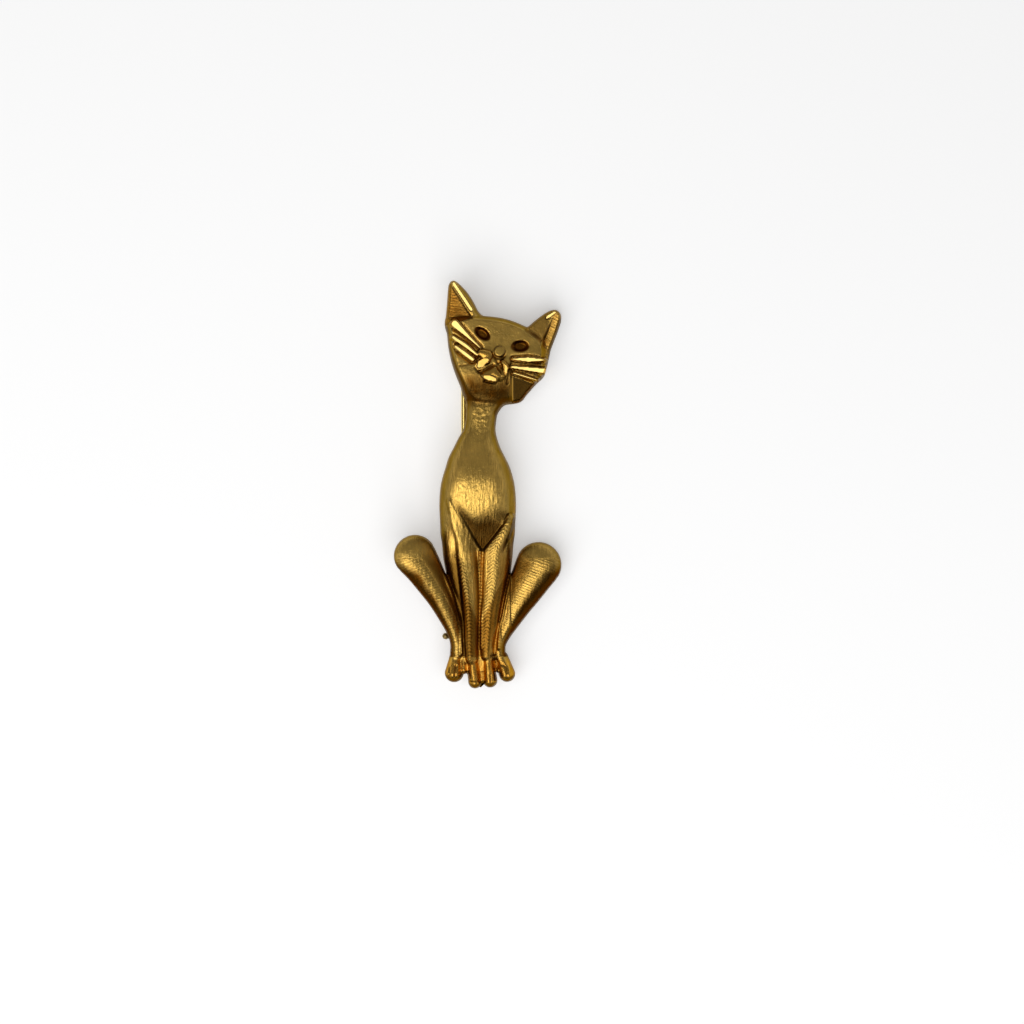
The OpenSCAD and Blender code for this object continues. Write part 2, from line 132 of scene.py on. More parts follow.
# Grooves between the toes and round the hind paw: path, half width, depth
TOE_GROOVES = [
    ([(-3.75, -24.1), (-3.82, -24.9), (-3.86, -25.9)], 0.14, 0.22),
    ([(-2.95, -23.8), (-3.05, -24.6), (-3.05, -25.9)], 0.14, 0.25),
    ([(1.6, -25.0), (1.65, -25.8), (1.65, -26.6)], 0.14, 0.3),
    ([(-1.3, -25.7), (-0.4, -25.8), (0.3, -25.7)], 0.10, 0.15),
    ([(2.9, -23.6), (3.5, -23.9), (3.75, -24.6), (3.75, -25.4)], 0.18, 0.15),
    ([(2.35, -23.2), (2.5, -23.6), (2.45, -24.1)], 0.2, 0.4)]

# Outline of the head without its ears, and of each ear: across, up
HEAD_OUTLINE = [
    (-4.35, 21.6), (-4.15, 19.8), (-3.95, 18.0), (-3.6, 16.3), (-3.05, 14.6), (-2.4, 13.0), (-1.8, 11.5),
    (-0.4, 10.6), (1.8, 10.3), (3.6, 10.6), (5.5, 10.95), (6.4, 11.95), (7.5, 13.2), (8.6, 14.3),
    (9.0, 15.4), (9.3, 16.9), (9.2, 18.4), (8.2, 19.9), (6.5, 20.9), (4.5, 21.75), (2.6, 22.2),
    (0.4, 22.4), (-1.6, 22.5), (-3.4, 22.3)]
LEFT_EAR = [
    (-3.45, 26.98), (-3.9, 26.5), (-4.05, 25.5), (-4.15, 24.0), (-4.3, 22.4), (-4.4, 21.2), (-4.0, 20.2),
    (-2.4, 20.2), (-0.6, 20.9), (0.5, 22.1), (-0.1, 23.1), (-0.6, 24.1), (-1.05, 24.85), (-1.6, 25.6),
    (-2.2, 26.25), (-2.9, 26.85)]
RIGHT_EAR = [
    (10.35, 23.25), (9.6, 23.2), (8.8, 22.8), (7.9, 22.15), (7.0, 21.4), (6.2, 20.5), (6.2, 19.0),
    (7.2, 17.4), (8.6, 16.4), (9.2, 16.8), (9.6, 18.0), (10.1, 19.3), (10.6, 20.6), (10.95, 21.8),
    (10.9, 22.7)]


def smooth_rows(rows, steps, closed=False):
    """Points of a smooth curve through the rows, a few to each of their stretches."""
    rows = np.array(rows, float)
    if closed:
        padded = np.vstack([rows[-1], rows, rows[:2]])
    else:
        padded = np.vstack([2 * rows[0] - rows[1], rows, 2 * rows[-1] - rows[-2]])
    share = np.linspace(0, 1, steps, endpoint=False)[:, None]
    found = []
    for before, start, end, after in zip(padded, padded[1:], padded[2:], padded[3:]):
        found.append(0.5 * (2 * start + (end - before) * share
                            + (2 * before - 5 * start + 4 * end - after) * share ** 2
                            + (3 * (start - end) + after - before) * share ** 3))
    if not closed:
        found.append(rows[-1:])
    return np.vstack(found)


# A round form's side turns into a straight slope near its rim.
RIM = 0.985


def falloff(share):
    """Height of a round form at a share of its radius."""
    at_rim = math.sqrt(1 - RIM * RIM)
    inside = np.sqrt(np.clip(1 - share * share, 0, None))
    return np.where(share < RIM, inside, at_rim - (share - RIM) * RIM / at_rim)


def fade(values, start=0, width=1):
    """Share that grows from 0 at the start to 1 over the width."""
    return np.clip((values - start) / width, 0, 1)


def bell(distance, half, power=2):
    """Share that falls off from 1 on both sides, more squarely with a higher even power."""
    return np.exp(-(distance / half) ** power)


def oval(x, y, half_width, half_height, power=2):
    """Share that falls off round a point."""
    return bell(X - x, half_width, power) * bell(Y - y, half_height, power)


def smooth_max(first, second, blend):
    """The higher of two surfaces, with the seam filleted."""
    near = np.clip(1 - np.abs(first - second) / blend, 0, None)
    return np.maximum(first, second) + near * near * blend / 4


def to_segment(start, end):
    """Distance of every grid point from a segment, its share along it, and its signed side."""
    dx, dy = end[0] - start[0], end[1] - start[1]
    length = max(math.hypot(dx, dy), TINY)
    along = np.clip(((X - start[0]) * dx + (Y - start[1]) * dy) / length ** 2, 0, 1)
    side = ((X - start[0]) * dy - (Y - start[1]) * dx) / length
    return np.hypot(X - start[0] - along * dx, Y - start[1] - along * dy), along, side


class Form:
    """A surface over the grid: its height above the back, and its distance inside its outline."""

    def __init__(self, height, inset):
        self.height = height
        self.inset = inset

    def join(self, other, blend, outline_blend=0.3):
        """Both forms as one, with a fillet between them."""
        return Form(smooth_max(self.height, other.height, blend),
                    smooth_max(self.inset, other.inset, outline_blend))


def row_of_domes(rows, steps=LIMB_STEPS, rise=None, flatness=1.0, tilt=0.0):
    """A limb of round domes in a row, which stand on the edge, or rise over a base of their own."""
    points = smooth_rows(rows, steps) if steps > 1 else np.array(rows, float)
    height = np.full(X.shape, NO_FORM)
    inset = np.full(X.shape, NO_FORM)
    for start, end in zip(points, points[1:]):
        distance, along, side = to_segment(start, end)
        radius = (start[2] + (end[2] - start[2]) * along) / 2
        relief = start[3] + (end[3] - start[3]) * along
        base = EDGE if rise is None else relief - rise
        share = distance / radius
        dome = base + (relief - base) * falloff(share ** flatness)
        height = np.maximum(height, dome - tilt * side * np.clip(1 - share * share, 0, None))
        inset = np.maximum(inset, radius - distance)
    return Form(height, inset)


def swept_torso():
    """The neck, chest and belly."""
    rows = smooth_rows(TORSO, TORSO_STEPS)[::-1]
    middle, half, relief = (np.interp(Y, rows[:, 0], rows[:, k]) for k in (1, 2, 3))
    distance = np.abs(X - middle)
    beyond = np.clip(np.maximum(rows[0, 0] - Y, Y - rows[-1, 0]), 0, None)
    fullness = np.interp(Y, *TORSO_FULLNESS)
    height = EDGE + (relief - EDGE) * falloff((distance / half) ** fullness) - TORSO_END_SLOPE * beyond
    return Form(height, half - distance - beyond)


def outline_distance(outline):
    """Distance inside a smooth closed outline, negative outside."""
    points = smooth_rows(outline, OUTLINE_STEPS, closed=True)
    nearest = np.full(X.shape, FAR)
    inside = np.zeros(X.shape, bool)
    for start, end in zip(points, np.roll(points, -1, axis=0)):
        nearest = np.minimum(nearest, to_segment(start, end)[0])
        crosses = (start[1] > Y) != (end[1] > Y)
        rise = end[1] - start[1] or TINY
        inside ^= crosses & (X < (end[0] - start[0]) * (Y - start[1]) / rise + start[0])
    return np.where(inside, nearest, -nearest)


# Least height of a pillow's crown over its edge
LEAST_CROWN = 1.0


def pillow(outline, shoulder, crown):
    """A form that rises from its outline to its crown over a round shoulder."""
    inset = outline_distance(outline)
    share = 1 - np.clip(inset / shoulder, -1, 1)
    return Form(EDGE + np.maximum(crown - EDGE, LEAST_CROWN) * falloff(share), inset)


def slope(x, y, height, to_right, up):
    """Heights of a plane through a point, from its slopes to the right and up."""
    return height + to_right * (X - x) + up * (Y - y)


# Face: it leans back from the edge of the chin, and falls away on both sides.
FACE_MIDDLE, FACE_BOW = 2.2, 0.012
CHIN_UP, CHIN_HEIGHT, CHIN_BLEND = 13.5, 6.9, 1.6
FACE_SLOPE, CHIN_SLOPE = 0.16, 0.85
HEAD_SHOULDER, EAR_SHOULDER = 0.9, 0.9

# Crowns of the full ears: across, up, height, slopes to the right and up
LEFT_EAR_CROWN = (-3.4, 26.6, 4.6, 0.1, 0.1)
RIGHT_EAR_CROWN = (10.2, 22.8, 4.4, 0.05, 0.1)

# Fillets between the other forms, and flatness of the flank and the paws
BETWEEN_EARS, EAR_BLEND, HEAD_BLEND, FLANK_BLEND = 0.1, 0.4, 1.5, 0.5
PAW_BLEND, PAW_OUTLINE_BLEND = 0.45, 0.1
FLANK_FLATNESS, PAW_FLATNESS = 2.0, 1.2


def make_head():
    """The head without its features, with both ears still full."""
    face = slope(FACE_MIDDLE, CHIN_UP, CHIN_HEIGHT, 0, -FACE_SLOPE)
    chin = slope(FACE_MIDDLE, CHIN_UP, CHIN_HEIGHT, 0, CHIN_SLOPE)
    crown = -smooth_max(-face, -chin, CHIN_BLEND) - FACE_BOW * (X - FACE_MIDDLE) ** 2
    head = pillow(HEAD_OUTLINE, HEAD_SHOULDER, crown)
    left = pillow(LEFT_EAR, EAR_SHOULDER, slope(*LEFT_EAR_CROWN))
    right = pillow(RIGHT_EAR, EAR_SHOULDER, slope(*RIGHT_EAR_CROWN))
    return left.join(right, BETWEEN_EARS).join(head, EAR_BLEND)


def make_form():
    """The whole relief before its small features."""
    form = swept_torso().join(row_of_domes(RIGHT_FLANK, flatness=FLANK_FLATNESS), FLANK_BLEND)
    for rows, rise, flatness, tilt, blend in LIMBS:
        form = form.join(row_of_domes(rows, rise=rise, flatness=flatness, tilt=tilt), blend)
    for x0, y0, width0, x1, y1, width1, start, end in PAWS:
        paw = row_of_domes([(x0, y0, width0, start), (x1, y1, width1, end)], 1, flatness=PAW_FLATNESS)
        form = form.join(paw, PAW_BLEND, PAW_OUTLINE_BLEND)
    return form.join(make_head(), HEAD_BLEND)


form = make_form()

# Beaded line between the forelegs, and the crest of each foreleg: across, up
BEADED_LINE = [(0.25, -8.8), (0.25, -14.0), (0.3, -18.0), (0.3, -21.4)]
LEFT_CREST = [
    (-2.75, -9.3), (-2.37, -10.3), (-1.87, -12.4), (-1.52, -14.2), (-1.35, -15.8), (-1.19, -17.5),
    (-1.12, -19.2), (-1.2, -21.0), (-1.1, -22.6)]
RIGHT_CREST = [
    (3.9, -4.9), (3.2, -6.2), (2.5, -7.6), (2.1, -9.0), (1.96, -10.3), (1.99, -11.6), (1.72, -13.3),
    (1.64, -14.6), (1.39, -15.8), (1.26, -17.1), (1.22, -18.4), (0.86, -20.1), (0.9, -21.5)]

# Ridges inside the thighs, along the chest and down the forelegs: path, half width, rise
RIDGES = [
    ([(-4.95, -9.6), (-4.83, -10.2), (-3.97, -12.8), (-3.04, -15.15), (-2.45, -17.5), (-2.2, -18.8),
      (-2.15, -22.2)], 0.22, 0.50),
    ([(4.2, -9.9), (4.04, -12.8), (3.77, -14.2), (3.45, -15.8), (3.11, -17.5), (2.78, -18.8),
      (2.7, -21.5)], 0.22, 0.45),
    ([(-3.9, -1.9), (-2.8, -3.9), (-2.3, -4.9), (-2.0, -5.5)], 0.15, 0.10),
    ([(-3.85, -2.9), (-3.6, -4.2), (-3.2, -5.8), (-2.65, -7.4), (-2.6, -9.0)], 0.45, 0.15),
    (BEADED_LINE, 0.20, 0.40), (LEFT_CREST, 0.44, 0.10), (RIGHT_CREST, 0.60, 0.06)]

# Herringbone: path, half width, depth, painted shade over it
LEG_HATCHES = [(LEFT_CREST, 0.5, 0.055, 0.35), (RIGHT_CREST, 0.75, 0.03, 0.1), (BEADED_LINE, 0.28, 0.06, 0.1)]

# Its repeat, its slope away from the middle, and its full depth
HATCH_PITCH, HATCH_SLOPE, HATCH_DEPTH = 0.46, 0.9, 0.06

# Recess under the chest, between the forelegs: across, up
CHEST_RECESS = [
    (-3.75, -1.25), (-2.8, -1.9), (-2.0, -2.6), (-1.2, -3.4), (-0.6, -3.7), (0.2, -3.1), (1.6, -2.7),
    (3.4, -2.8), (4.6, -3.4), (3.7, -4.8), (2.3, -6.75), (0.9, -8.5), (0.4, -8.7), (-0.1, -8.1),
    (-0.8, -6.9), (-1.5, -5.6), (-2.2, -4.3), (-3.0, -2.9)]

# Upper edge of the recess, which the chest rounds over into, and a line of brown painted shade along its left
# edge
CHEST_EDGE = CHEST_RECESS[0:4:2] + CHEST_RECESS[4:9]
RECESS_LEFT = [(-2.6, -2.9), (-1.9, -4.9), (-1.0, -6.6), (-0.2, -8.2)]

# The chest's underside in it: height and place of its upper edge, slope, curve and floor, and its fall to
# the left with the place where that begins
BIB_TOP, BIB_EDGE = 6.58, -2.7
BIB_FALL, BIB_CURVE, BIB_FLOOR = 0.45, 0.03, 4.2
BIB_LEFT_FALL, BIB_LEFT = 0.2, -0.5

# Two places across the recess, and how far from its upper edge its painted shade is full there
RECESS_REACH = ((-1.5, 3.5), (0.9, 3.2))

# Eyes: across, up, half length, half width, turn in degrees
EYES = [(0.55, 19.8, 1.2, 0.74, -38), (5.5, 18.2, 1.22, 0.80, 4)]
EYE_DEPTH = 0.6

# Nose: place, radius and rise, the share of it that is flat, and the slope of its edge
NOSE = (2.79, 17.47)
NOSE_RADIUS, NOSE_RISE, NOSE_FLAT, NOSE_EDGE_SLOPE = 0.70, 0.45, 0.8, 0.8

# Crescent under it, a groove with painted shade: how far down it is set, and its depth
CRESCENT_DROP, CRESCENT_DEPTH = 0.2, 0.15

# Whiskers: inner end, outer end, half width at the inner end, the middle and the outer end
WHISKERS = [
    ((0.25, 17.95), (-3.02, 21.05), 0.12, 0.27, 0.50),
    ((-0.16, 17.0), (-3.25, 19.3), 0.18, 0.38, 0.24),
    ((-0.74, 16.4), (-2.9, 18.05), 0.28, 0.30, 0.22),
    ((4.6, 16.5), (8.55, 16.4), 0.14, 0.36, 0.17),
    ((4.45, 15.45), (8.75, 14.95), 0.20, 0.30, 0.38),
    ((4.65, 14.65), (7.7, 13.75), 0.14, 0.16, 0.10)]

# Rise of their tops, how far the edges are rounded down, and depth of the grooves beside them
WHISKER_RISE, WHISKER_ROUNDING, WHISKER_GROOVE = 0.55, 0.03, 0.4

# Slopes of the left and of the right tops, and of faces that mirror the main light: to the right, up
WHISKER_SLOPES = ((0.06 + LEAN, 0.16), (LEAN - 0.03, 0.18))
BRIGHT_SLOPE = (0.08 + LEAN, 0.24)

# Muzzle: rows of domes with across, up, width, height above the back
MUZZLE = [
    [(0.4, 17.2, 1.2, 6.95), (1.2, 16.9, 1.6, 7.0)],
    [(0.2, 15.75, 1.0, 7.0), (1.1, 16.3, 1.2, 7.1)],
    [(3.2, 16.1, 0.7, 7.1), (3.65, 15.4, 0.95, 7.25), (3.4, 14.4, 0.9, 7.1)]]

# A dome's finish reaches this far under the face around it.
MUZZLE_OVERLAP = 0.03

# Lower lip: outline of its heart-shaped dome, and the dome's rise
LIP = [(2.28, 15.6), (2.75, 15.0), (3.3, 14.1), (3.0, 13.6), (1.8, 13.7), (0.75, 13.9), (0.25, 14.3),
       (0.75, 14.75), (1.55, 15.2)]
LIP_RISE = 0.62

# Polished faces cut on the muzzle: outline, and height at its first corner
MUZZLE_FACETS = [
    ([(1.4, 16.55), (1.2, 16.0), (0.2, 15.25), (-0.2, 15.6), (0.2, 16.2)], 7.15),
    ([(0.55, 14.1), (1.3, 14.4), (2.4, 13.95), (2.3, 13.5), (1.3, 13.6)], 7.15),
    ([(3.5, 15.7), (3.8, 15.5), (3.85, 14.9), (3.6, 14.5), (3.4, 15.0)], 7.2)]

# Grooves of the muzzle and the crease of the left cheek, all with painted shade in them: path, half width,
# depth
MUZZLE_GROOVES = [
    ([(2.05, 16.9), (2.4, 16.3), (2.6, 15.9)], 0.18, 0.12),
    ([(3.35, 16.8), (2.95, 16.2), (2.6, 15.9)], 0.18, 0.12),
    ([(2.0, 15.7), (1.3, 15.3), (0.7, 14.95), (0.1, 14.8)], 0.15, 0.25),
    ([(-0.35, 15.3), (0.0, 14.9), (0.5, 14.5)], 0.12, 0.2),
    ([(2.95, 15.6), (3.3, 14.9), (3.6, 14.0)], 0.12, 0.25),
    ([(0.8, 13.6), (1.5, 13.4), (2.3, 13.3)], 0.11, 0.3),
    ([(4.05, 14.9), (4.0, 14.2), (3.85, 13.3)], 0.15, 0.3),
    ([(-2.5, 15.6), (-1.7, 15.65), (-0.86, 15.95)], 0.13, 0.04)]

# Jaw: upper left corner of its polished face and height there, the face's slopes, the fall of its upper
# edge to the right, its reach past the head's outline, and the width of a line of painted shade round it
JAW_CORNER = (4.4, 14.3, 6.0)
JAW_SLOPE = (-0.3, 0.8)
JAW_TOP_FALL, JAW_REACH, JAW_RIM = 0.25, 0.2, 0.4

# Depth of the step beside the chin
STEP_DEPTH = 0.3

# Ears: the planes are those of the hatched and the smooth side, rim is their roundness, the pair after it is
# each side's brown painted shade, tone is the orange painted reflection in the hollow, the strip has a half
# width and a height, and the direction is the hatching's.
EARS = [
    dict(outline=LEFT_EAR, crease=((-3.75, 26.7), (-1.35, 22.9)),
         hatched=slope(-3.2, 24.0, 3.8, 0.28, 0.2), smooth=None, rim=0.5, stains=(0.55, 0.0), tone=0.8,
         strip=((-3.2, 26.4), (-0.95, 23.05), 0.27, 4.55), direction=(1.0, -0.12)),
    dict(outline=RIGHT_EAR, crease=((8.15, 18.2), (9.9, 22.6)),
         hatched=slope(10.0, 21.0, 4.05, 0.3, 0.2), smooth=slope(8.5, 21.0, 4.3, -0.1, -0.1),
         rim=0.35, stains=(0.0, 0.45), tone=0.3,
         strip=((10.05, 22.8), (9.0, 22.05), 0.2, 4.45), direction=(0.85, -0.5))]

# The left hollow stays above a line, given by a point and its slope. The right one is right of a place.
LEFT_BROW, RIGHT_SIDE = (-2, 21.5, 0.25), 3

# Least height of a hollow over the edge, and least distance of the strip inside the outline
LEAST_HOLLOW, STRIP_INSET = 0.5, 0.1

# Pitch of the brush lines across the ears and the thighs, and their depth and how dark their troughs are
LINE_PITCH = 0.36
EAR_LINES = (0.045, 0.8)
THIGH_LINES = (0.025, 0.6)

# The lines waver along their length and vary in pitch across it: swing, and turn in a millimetre
LINE_WAVER, LINE_VARIANCE = (0.6, 1.9), (0.5, 4.3)

# The chin gets brown painted shade where it has less polish than this, and the neck a little painted shade
# within a half width.
CHIN_POLISH, NECK_HALF = 0.15, 4.5

# Thighs: rows, direction of the lines across, side that faces outwards
THIGHS = [(LEFT_THIGH, (0.92, 0.32), -1), (RIGHT_THIGH, (0.90, -0.38), 1)]
THIGH_TOP, THIGH_FOOT, THIGH_REACH = -8.6, -22.6, 3.2

# Flanks beside the forelegs: their foot and middle, half their width at a place up, and its change upwards
FLANK_FOOT, FLANK_MIDDLE = -22.5, 0.3
FLANK_HALF, FLANK_HALF_AT, FLANK_TAPER = 4.6, -9, 0.17


def surface_at(form, x, y):
    """Height of the form near a point of the plan."""
    return form.height[int(round((y + HALF_Y) / CELL)), int(round((x + HALF_X) / CELL))]


def path_distance(path):
    """Distance of every grid point from a smooth path."""
    points = smooth_rows(path, PATH_STEPS)
    nearest = np.full(X.shape, FAR)
    for start, end in zip(points, points[1:]):
        nearest = np.minimum(nearest, to_segment(start, end)[0])
    return nearest


def limb_distance(rows):
    """Distance of every grid point from a limb's middle line."""
    return path_distance([row[:2] for row in rows])


def middle_at(rows, steps):
    """Place across of a line that runs down, at the height of every grid point."""
    points = smooth_rows(rows, steps)
    return np.interp(-Y, -points[:, 1], points[:, 0])


def blurred(values, sigma, stretch=1.0):
    """The values with a blur of a radius in millimetres, longer up and down by the stretch."""
    along_y = np.fft.fftfreq(values.shape[0], CELL)[:, None] * stretch
    along_x = np.fft.fftfreq(values.shape[1], CELL)[None, :]
    soft = np.exp(-2 * (math.pi * sigma) ** 2 * (along_x ** 2 + along_y ** 2))
    return np.real(np.fft.ifft2(np.fft.fft2(values) * soft))


def random_relief(seed, sigma, stretch=1.0):
    """Random heights with a spread of 1."""
    heights = blurred(np.random.default_rng(seed).standard_normal(X.shape), sigma, stretch)
    return heights / heights.std()


# Finish and painted light over the grid: polish, orange tone that is painted reflection in hollows, stipple,
# brown that is stain and painted shade, painted shade, and strength of the strokes
polish, warm, stipple, stain, shade = (np.zeros(X.shape) for _ in range(5))
strokes = np.ones(X.shape)
channels = dict(polish=polish, warm=warm, stipple=stipple, stain=stain, shade=shade, strokes=strokes)

# Places along and across the brush strokes
grain = np.stack([Y, X], axis=2)


def tint(mask, **levels):
    """Raises parts of the finish and of the painted light to the mask's share of a level each."""
    for name, level in levels.items():
        np.maximum(channels[name], level * mask, out=channels[name])


def coat(inside, **levels):
    """Sets parts of the finish and of the painted light to a level each inside a mask."""
    for name, level in levels.items():
        channels[name][inside] = level


def smooth_strokes(mask, share):
    """Takes away a share of the brush strokes."""
    strokes[:] = strokes * (1 - share * mask)


def turn_grain(mask, direction):
    """Turns the brush lines to a direction where the mask is over a half."""
    length = math.hypot(*direction)
    dx, dy = direction[0] / length, direction[1] / length
    where = mask > 0.5
    grain[where, 0] = (X * dx + Y * dy)[where]
    grain[where, 1] = (Y * dx - X * dy)[where]


def add_ridges(form):
    """The ridges inside the thighs, along the chest and down the forelegs."""
    for path, half, rise in RIDGES:
        form.height += rise * bell(path_distance(path), half)


def cut_grooves(form, grooves, stained):
    """Grooves along paths, with brown painted shade in them."""
    for path, half, depth in grooves:
        profile = bell(path_distance(path), half)
        form.height -= depth * profile
        tint(profile, stain=stained)


def cut_toes(form):
    """The grooves between the toes with painted shade in them, and the shinier, more orange metal of the
    paws.
    """
    cut_grooves(form, TOE_GROOVES, stained=0.6)
    tint(fade(-Y, start=22.6, width=0.6), polish=0.25, warm=0.8)


def cut_chest_recess(form):
    """The chest's underside falls away between the forelegs, with painted shade in the recess and along its
    left edge.
    """
    inset = outline_distance(CHEST_RECESS)
    from_edge = path_distance(CHEST_EDGE)
    below = np.clip(BIB_EDGE - Y, 0, None)
    bib = BIB_TOP - BIB_FALL * below - BIB_CURVE * below ** 2
    bib = smooth_max(bib - BIB_LEFT_FALL * np.clip(BIB_LEFT - X, 0, None), BIB_FLOOR, blend=1.5)
    depth = np.clip(form.height - bib, 0, None)
    rounded = fade(from_edge, width=1.6)
    form.height -= depth * fade(inset, width=0.3) * rounded * (2 - rounded)
    reach = np.interp(X, *RECESS_REACH)
    tint(fade(inset, width=0.4) * fade(from_edge, width=reach), stain=0.8, shade=0.9)
    tint(bell(path_distance(RECESS_LEFT), half=0.55), stain=0.5, shade=0.45)
    coat(inset > 0, strokes=0.6)


def cut_eyes(form):
    """Empty eye recesses with sloping walls and brown floors, the brown reaching just past the rims as
    painted shade.
    """
    for x, y, half_length, half_width, turn in EYES:
        angle = math.radians(turn)
        along = (X - x) * math.cos(angle) + (Y - y) * math.sin(angle)
        across = (Y - y) * math.cos(angle) - (X - x) * math.sin(angle)
        share = np.hypot(along / half_length, across / half_width)
        form.height -= EYE_DEPTH * (1 - fade(share, start=0.55, width=0.45))
        tint(1 - fade(share, start=0.92, width=0.2), stain=1)


def stand_block(form, top, past, side_slope, reach, **levels):
    """Stands a block on the form. Past is the distance beyond the edge of its top."""
    block = top - side_slope * np.clip(past, 0, None)
    raised = (past < reach) & (block > form.height)
    form.height = np.where(raised, block, form.height)
    coat(raised, **levels)
    coat(raised & (past < 0), stain=0)


def add_nose(form):
    """A flat knob over a crescent groove with painted shade in it."""
    up = Y - NOSE[1]
    distance = np.hypot(X - NOSE[0], up)
    below = np.hypot(X - NOSE[0], up + CRESCENT_DROP)
    crescent = bell(below - NOSE_RADIUS, half=0.18) * (1 - fade(up, start=-0.6))
    form.height -= CRESCENT_DEPTH * crescent
    tint(crescent, stain=0.7)
    top = surface_at(form, *NOSE) + NOSE_RISE - FACE_SLOPE * up
    top -= NOSE_EDGE_SLOPE * np.clip(distance - NOSE_FLAT * NOSE_RADIUS, 0, None)
    stand_block(form, top, distance - NOSE_RADIUS, side_slope=6, reach=0.2)


def polish_face(form, inside, plane):
    """Cuts the form to a bright plane inside a mask."""
    form.height = np.where(inside, plane, form.height)
    coat(inside, polish=1.0, stain=0)


def add_muzzle(form):
    """The lobes of the muzzle and the lower lip, with their grooves and polished faces."""
    for rows in MUZZLE:
        lobe = row_of_domes(rows, rise=0.8, flatness=1.2)
        raised = lobe.height > form.height - MUZZLE_OVERLAP
        form.height = np.maximum(form.height, lobe.height)
        coat(raised, polish=0.2, warm=0.6)
    inset = outline_distance(LIP)
    form.height += LIP_RISE * falloff(1 - fade(inset, width=0.9)) * (inset > 0)
    coat(inset > 0, polish=0.2, warm=0.6)
    cut_grooves(form, MUZZLE_GROOVES, stained=0.8)
    for outline, height in MUZZLE_FACETS:
        polish_face(form, outline_distance(outline) > 0, slope(*outline[0], height, *BRIGHT_SLOPE))


def add_whiskers(form):
    """Bars with flat polished tops, and a groove with painted shade along each side."""
    before = Form(form.height.copy(), form.inset)
    for inner, outer, half0, half1, half2 in WHISKERS:
        distance, along, _ = to_segment(inner, outer)
        half = np.interp(along, (0, 0.5, 1), (half0, half1, half2))
        groove = bell(np.clip(distance - half, 0, None), half=0.26)
        form.height -= WHISKER_GROOVE * groove
        tint(groove, stain=0.85)
        middle = ((inner[0] + outer[0]) / 2, (inner[1] + outer[1]) / 2)
        lean = WHISKER_SLOPES[0] if outer[0] < 0 else WHISKER_SLOPES[1]
        top = slope(*middle, surface_at(before, *middle) + WHISKER_RISE, *lean)
        top -= WHISKER_ROUNDING * (distance / half) ** 2
        stand_block(form, top, distance - half, side_slope=5, reach=0.3, polish=1.0)


def smooth_head():
    """The head has hardly any brush lines."""
    coat(outline_distance(HEAD_OUTLINE) > 0, strokes=0.35)


def darken_chin():
    """Brown painted shade under the chin, and a little painted shade on the neck below it."""
    under_chin = oval(1.1, 12.5, half_width=3.7, half_height=2.3, power=4)
    tint(under_chin * (polish < CHIN_POLISH), stain=0.85, shade=0.7)
    tint(bell(Y - 8.5, half=3.0, power=4) * (np.abs(X) < NECK_HALF), shade=0.25)


def cut_jaw(form):
    """The right of the jaw is one dark polished face, below a step beside the chin, with painted shade along
    its rim.
    """
    form.height -= STEP_DEPTH * fade(X, start=4.15, width=0.15) * (1 - fade(Y, start=16.4, width=0.5))
    below = Y < JAW_CORNER[1] - JAW_TOP_FALL * (X - JAW_CORNER[0])
    inside = (X > JAW_CORNER[0]) & below & (outline_distance(HEAD_OUTLINE) > -JAW_REACH)
    facet = slope(*JAW_CORNER, *JAW_SLOPE)
    form.height = np.where(inside & (form.inset > 0), facet, form.height)
    coat(inside, polish=0.9, warm=0.8, stain=0.35)
    coat(inside & (form.inset < JAW_RIM), stain=0.9, shade=0.6)


def brush_lines(form, share, direction, depth, dark):
    """Fine parallel lines in the metal, brown in their troughs."""
    length = math.hypot(*direction)
    across = (Y * direction[0] - X * direction[1]) / length
    along = (X * direction[0] + Y * direction[1]) / length
    phase = 2 * math.pi * across / LINE_PITCH
    phase += LINE_WAVER[0] * np.sin(LINE_WAVER[1] * along)
    phase += LINE_VARIANCE[0] * np.sin(LINE_VARIANCE[1] * across)
    waves = np.sin(phase)
    form.height += depth * waves * share
    stain[:] += (1 - stain) * dark * share * np.clip(-waves, 0, 1)


def hollow_ear(form, free, outline, crease, hatched, smooth, rim, stains, tone, strip, direction):
    """A polished strip near the ear's tip, and a hatched hollow on one side of its crease, with painted shade
    and orange painted reflection.
    """
    inset = outline_distance(outline)
    _, _, side = to_segment(*crease)
    inside = free * fade(inset, width=0.4)
    for plane, away, dark in ((hatched, side, stains[0]), (smooth, -side, stains[1])):
        if plane is None:
            continue
        rounded = falloff(1 - np.clip(inset / rim, -1, 1))
        plane = EDGE + np.maximum(plane - EDGE, LEAST_HOLLOW) * rounded
        share = fade(away, width=0.2) * inside
        form.height += (plane - form.height) * share
        tint(share, stain=dark)
    hollow = fade(side, width=0.2) * inside
    # Orange painted reflection in the hollow, and brown painted shade along the crease
    tint(hollow, warm=tone)
    tint(bell(side, half=0.5) * hollow, stain=0.65)
    brush_lines(form, hollow, direction, *EAR_LINES)
    turn_grain(hollow, direction)
    start, end, half, height = strip
    distance, _, _ = to_segment(start, end)
    on_strip = (distance < half) & (inset > STRIP_INSET)
    polish_face(form, on_strip, slope(*start, height, *BRIGHT_SLOPE))


def cut_ears(form):
    """Both ears are hollowed where they stand clear of the head."""
    across, up, brow_slope = LEFT_BROW
    above_brow = (Y > up + brow_slope * (X - across)) | (X > RIGHT_SIDE)
    free = (1 - fade(outline_distance(HEAD_OUTLINE), start=0.2, width=0.9)) * above_brow
    for ear in EARS:
        hollow_ear(form, free, **ear)


